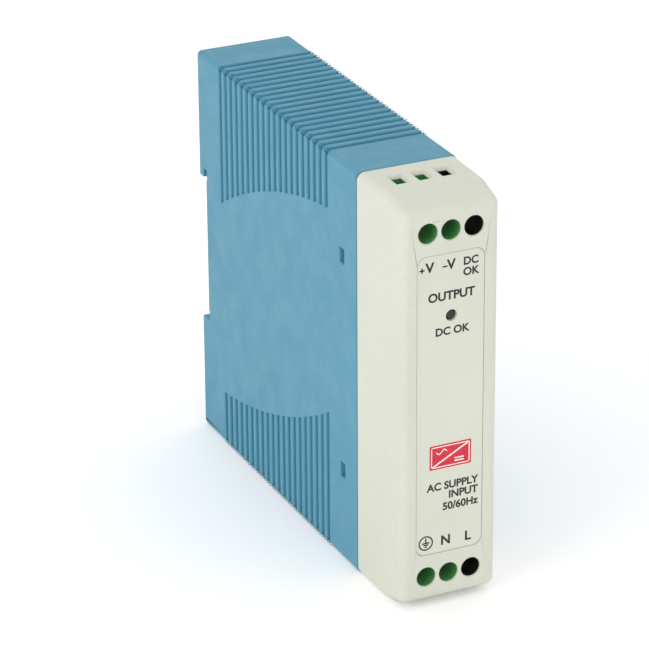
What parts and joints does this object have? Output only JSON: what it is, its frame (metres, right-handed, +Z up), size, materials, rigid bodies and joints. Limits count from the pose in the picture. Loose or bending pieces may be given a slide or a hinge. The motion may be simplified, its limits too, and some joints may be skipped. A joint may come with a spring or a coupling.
{
  "type": "din rail power supply",
  "caption": "Slim switching power supply that snaps onto a 35 mm mounting rail: grooved case, screw terminals at the top and bottom of its face, sprung rail latch.",
  "frame": {"origin": "centre of the case's bottom face, on the surface that it stands on", "axes": "+X to the right seen from the front, +Y from the front face to the rail side, +Z up along the case's height"},
  "size_m": [0.0226, 0.1, 0.09],
  "materials": {
    "board_laminate": "solder mask",
    "bobbin_plastic": "moulded phenolic",
    "capacitor_sleeve": "shrunk sleeve",
    "clamp_brass": "nickel flashed",
    "component_epoxy": "moulded epoxy",
    "contact_tin": "tin plated",
    "copper_wire": "enamelled wire",
    "cover_plastic": "fine moulded texture",
    "ferrite": "ground ceramic",
    "film_capacitor_case": "moulded case",
    "fuse_case": "moulded",
    "header_plastic": "moulded",
    "heat_sink_metal": "mill finish",
    "housing_plastic": "fine moulded texture",
    "insulation_film": "smooth film",
    "label_film": "smooth satin film",
    "lamp_lens": "tinted lens",
    "latch_plastic": "fine moulded texture",
    "light_pipe_clear": "clear moulded",
    "pad_silicone": "matte",
    "screw_steel": "zinc plated",
    "spring_steel": "bright wire",
    "terminal_dark": "smooth moulded",
    "terminal_green": "smooth moulded",
    "thermistor_coat": "dipped coating",
    "varistor_coat": "dipped coating",
    "winding_tape": "polyester tape"
  },
  "bodies": {
    "case": {"ac_contact_pins": "contact_tin", "ac_terminal_pair_body": "terminal_green", "ac_terminal_single_body": "terminal_dark", "board_header": "header_plastic", "bridge_rectifier": "component_epoxy", "bridging_capacitor": "varistor_coat", "bulk_capacitor": "capacitor_sleeve", "chip_parts": "component_epoxy", "choke_core": "ferrite", "choke_windings": "copper_wire", "control_chip": "component_epoxy", "dc_contact_pins": "contact_tin", "dc_terminal_pair_body": "terminal_green", "dc_terminal_single_body": "terminal_dark", "filter_capacitor": "film_capacitor_case", "front_board": "board_laminate", "front_cover": "cover_plastic", "front_label": "label_film", "fuse": "fuse_case", "inrush_thermistor": "thermistor_coat", "insulation_sheet": "insulation_film", "lamp": "lamp_lens", "latch_spring": "spring_steel", "light_pipe": "light_pipe_clear", "main_board": "board_laminate", "optocoupler": "component_epoxy", "output_capacitors": "capacitor_sleeve", "output_inductor_core": "ferrite", "output_inductor_winding": "copper_wire", "output_rectifier": "component_epoxy", "power_transistor": "component_epoxy", "primary_heat_sink": "heat_sink_metal", "primary_heat_sink_pad": "pad_silicone", "primary_heat_sink_screw": "screw_steel", "rear_housing": "housing_plastic", "secondary_heat_sink": "heat_sink_metal", "secondary_heat_sink_pad": "pad_silicone", "secondary_heat_sink_screw": "screw_steel", "transformer_bobbin": "bobbin_plastic", "transformer_core": "ferrite", "transformer_winding": "winding_tape", "varistor": "varistor_coat"},
    "latch": {"rail_latch": "latch_plastic"},
    "dc_screw_1": {"dc_terminal_screw_1": "screw_steel"},
    "dc_clamp_1": {"dc_clamp_cage_1": "clamp_brass"},
    "dc_screw_2": {"dc_terminal_screw_2": "screw_steel"},
    "dc_clamp_2": {"dc_clamp_cage_2": "clamp_brass"},
    "dc_screw_3": {"dc_terminal_screw_3": "screw_steel"},
    "dc_clamp_3": {"dc_clamp_cage_3": "clamp_brass"},
    "ac_screw_1": {"ac_terminal_screw_1": "screw_steel"},
    "ac_clamp_1": {"ac_clamp_cage_1": "clamp_brass"},
    "ac_screw_2": {"ac_terminal_screw_2": "screw_steel"},
    "ac_clamp_2": {"ac_clamp_cage_2": "clamp_brass"},
    "ac_screw_3": {"ac_terminal_screw_3": "screw_steel"},
    "ac_clamp_3": {"ac_clamp_cage_3": "clamp_brass"}
  },
  "joints": [
    {"name": "latch_slide", "type": "slide", "parent": "case", "child": "latch", "axis": [0, 0, -1], "range_m": [0, 0.004], "stiffness_N_per_m": 600, "springref_m": -0.004, "deforming": ["latch_spring"]},
    {"name": "dc_screw_turn_1", "type": "hinge", "parent": "case", "child": "dc_screw_1", "pos_m": [-0.00508, -0.0425, 0.083], "axis": [0, 1, 0], "range_deg": [0, 1153]},
    {"name": "dc_clamp_rise_1", "type": "slide", "parent": "case", "child": "dc_clamp_1", "axis": [0, -1, 0], "range_m": [0, 0.0016]},
    {"name": "dc_screw_turn_2", "type": "hinge", "parent": "case", "child": "dc_screw_2", "pos_m": [0, -0.0425, 0.083], "axis": [0, 1, 0], "range_deg": [0, 1153]},
    {"name": "dc_clamp_rise_2", "type": "slide", "parent": "case", "child": "dc_clamp_2", "axis": [0, -1, 0], "range_m": [0, 0.0016]},
    {"name": "dc_screw_turn_3", "type": "hinge", "parent": "case", "child": "dc_screw_3", "pos_m": [0.00508, -0.0425, 0.083], "axis": [0, 1, 0], "range_deg": [0, 1153]},
    {"name": "dc_clamp_rise_3", "type": "slide", "parent": "case", "child": "dc_clamp_3", "axis": [0, -1, 0], "range_m": [0, 0.0016]},
    {"name": "ac_screw_turn_1", "type": "hinge", "parent": "case", "child": "ac_screw_1", "pos_m": [-0.00508, -0.0425, 0.007], "axis": [0, 1, 0], "range_deg": [0, 1153]},
    {"name": "ac_clamp_rise_1", "type": "slide", "parent": "case", "child": "ac_clamp_1", "axis": [0, -1, 0], "range_m": [0, 0.0016]},
    {"name": "ac_screw_turn_2", "type": "hinge", "parent": "case", "child": "ac_screw_2", "pos_m": [0, -0.0425, 0.007], "axis": [0, 1, 0], "range_deg": [0, 1153]},
    {"name": "ac_clamp_rise_2", "type": "slide", "parent": "case", "child": "ac_clamp_2", "axis": [0, -1, 0], "range_m": [0, 0.0016]},
    {"name": "ac_screw_turn_3", "type": "hinge", "parent": "case", "child": "ac_screw_3", "pos_m": [0.00508, -0.0425, 0.007], "axis": [0, 1, 0], "range_deg": [0, 1153]},
    {"name": "ac_clamp_rise_3", "type": "slide", "parent": "case", "child": "ac_clamp_3", "axis": [0, -1, 0], "range_m": [0, 0.0016]}
  ],
  "couplings": [
    {"joint": "dc_screw_turn_1", "follows": "dc_clamp_rise_1", "rad_per_m": 12566},
    {"joint": "dc_screw_turn_2", "follows": "dc_clamp_rise_2", "rad_per_m": 12566},
    {"joint": "dc_screw_turn_3", "follows": "dc_clamp_rise_3", "rad_per_m": 12566},
    {"joint": "ac_screw_turn_1", "follows": "ac_clamp_rise_1", "rad_per_m": 12566},
    {"joint": "ac_screw_turn_2", "follows": "ac_clamp_rise_2", "rad_per_m": 12566},
    {"joint": "ac_screw_turn_3", "follows": "ac_clamp_rise_3", "rad_per_m": 12566}
  ]
}
